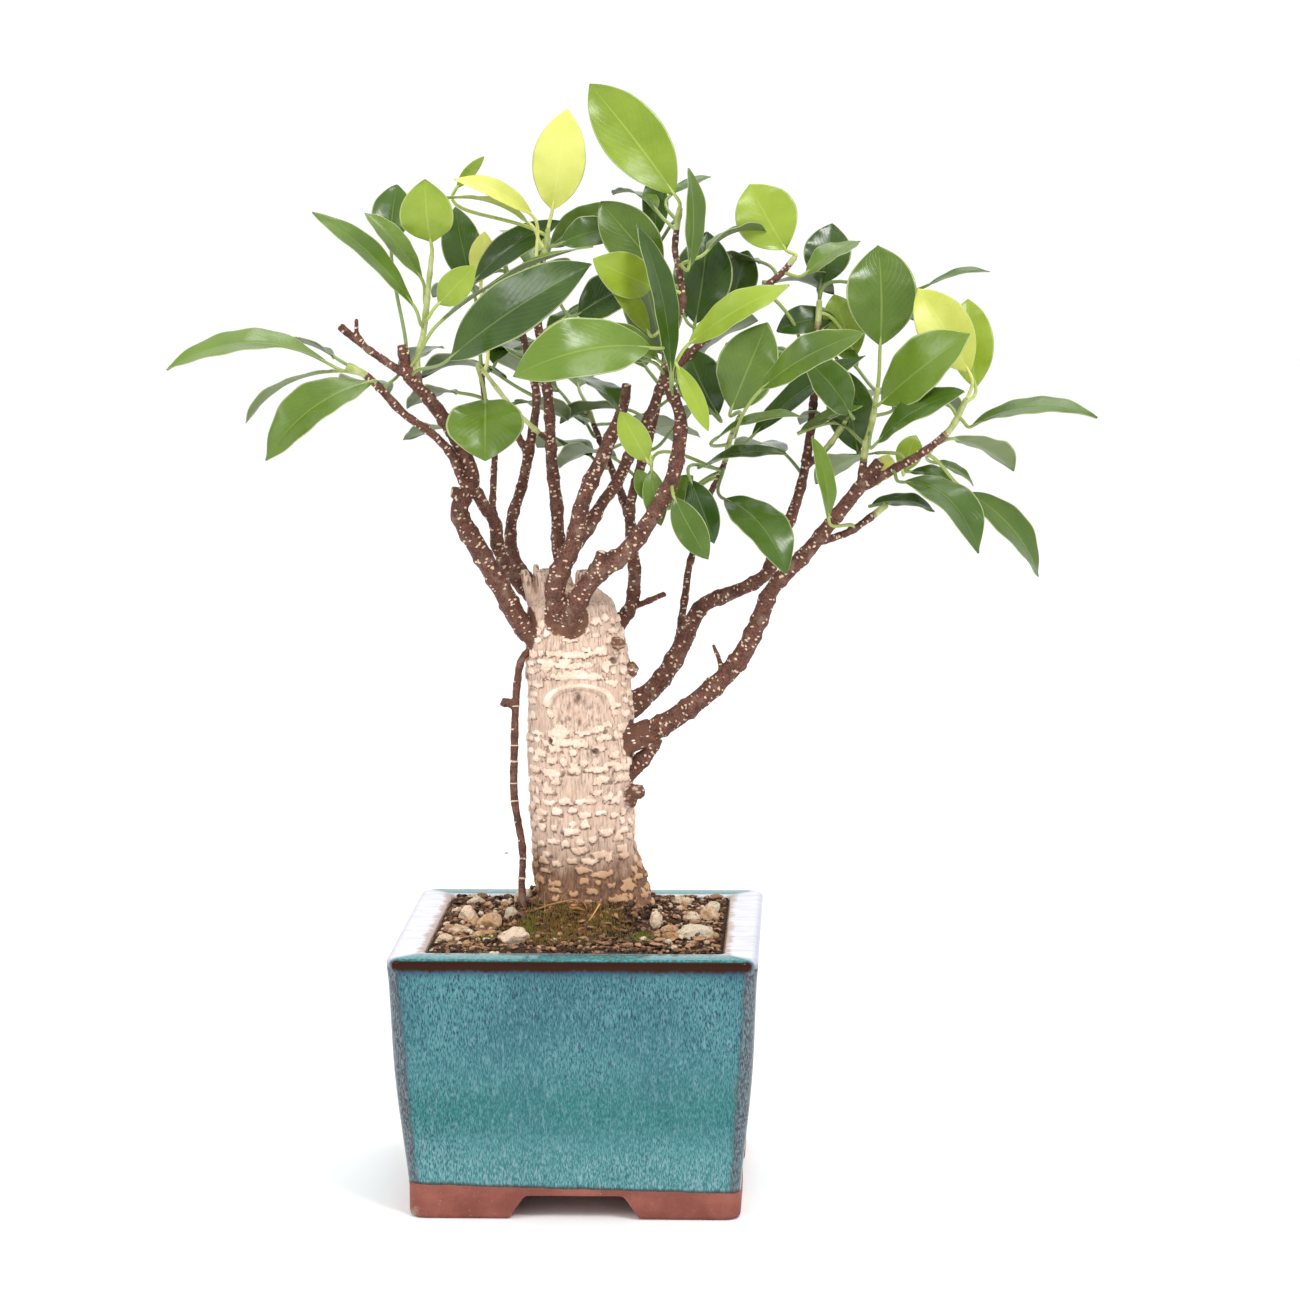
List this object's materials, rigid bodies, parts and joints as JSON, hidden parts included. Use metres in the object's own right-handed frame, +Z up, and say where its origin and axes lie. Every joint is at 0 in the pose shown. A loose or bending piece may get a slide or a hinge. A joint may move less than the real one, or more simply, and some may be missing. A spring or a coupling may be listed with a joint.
{
  "type": "bonsai tree in a pot",
  "caption": "Potted bonsai fig: thick pale trunk, dark spreading branches and glossy leaves in a square turquoise glazed pot on corner feet.",
  "frame": {"origin": "on the surface that the pot stands on, under the middle of the whole plant's bounding box", "axes": "+Z up along the trunk; +X to the right and +Y to the back as seen from the plant's front"},
  "size_m": [0.3783, 0.2101, 0.4573],
  "materials": {
    "glaze": "mottled turquoise glaze, brown where it breaks at the rim, with bare fired clay feet",
    "mesh_plastic": "black net",
    "soil_mix": "dark crumbly bonsai soil",
    "moss": "short green and orange moss",
    "stone": "rough pale grit",
    "trunk_bark": "pale bark with raised cross plates over grey-brown fissures",
    "twig_bark": "dark red-brown bark with pale dots",
    "leaf_dark": "glossy dark green leaf with a pale margin and midrib",
    "leaf_mid": "glossy mid green leaf with a pale margin and midrib",
    "leaf_young": "soft bright yellow-green young leaf"
  },
  "bodies": {
    "root": {"pot": "glaze", "drain_mesh": "mesh_plastic", "soil": "soil_mix", "moss": "moss", "pebble_front": "stone", "pebble_left": "stone", "pebble_left_back": "stone", "pebble_right": "stone", "pebble_right_front": "stone", "trunk": "trunk_bark", "aerial_root": "twig_bark", "branch_left": "twig_bark", "branch_back_left": "twig_bark", "branch_mid_back": "twig_bark", "branch_front": "twig_bark", "branch_back": "twig_bark", "branch_right_upper": "twig_bark", "branch_right_lower": "twig_bark", "leaf_far_left": "leaf_dark", "leaf_left_thin": "leaf_mid", "leaf_left_low": "leaf_dark", "leaf_left_narrow": "leaf_mid", "leaf_left_inner": "leaf_mid", "leaf_left_yellow": "leaf_young", "leaf_left_small": "leaf_mid", "leaf_left_edge": "leaf_mid", "leaf_left_big": "leaf_dark", "leaf_heart": "leaf_dark", "leaf_pale_long": "leaf_young", "leaf_bright_top": "leaf_young", "leaf_front": "leaf_dark", "leaf_centre_long": "leaf_dark", "leaf_bright_right": "leaf_young", "leaf_hanging": "leaf_mid", "leaf_top": "leaf_dark", "leaf_top_folded": "leaf_mid", "leaf_round": "leaf_mid", "leaf_centre_dark": "leaf_dark", "leaf_upper_right": "leaf_mid", "leaf_upper_flat": "leaf_mid", "leaf_right_behind": "leaf_dark", "leaf_right_inner": "leaf_dark", "leaf_mid_right": "leaf_dark", "leaf_mid_light": "leaf_mid", "leaf_mid_long": "leaf_dark", "leaf_droop_mid": "leaf_dark", "leaf_right_big": "leaf_dark", "leaf_right_olive": "leaf_mid", "leaf_right_dark": "leaf_dark", "leaf_yellow_front": "leaf_young", "leaf_yellow_back": "leaf_young", "leaf_far_right": "leaf_mid", "leaf_droop_right": "leaf_dark", "leaf_droop_far": "leaf_dark", "leaf_back_low": "leaf_dark", "leaf_back_far": "leaf_mid", "leaf_back_left": "leaf_dark", "leaf_back_right": "leaf_dark", "leaf_back_top": "leaf_dark"}
  },
  "joints": []
}
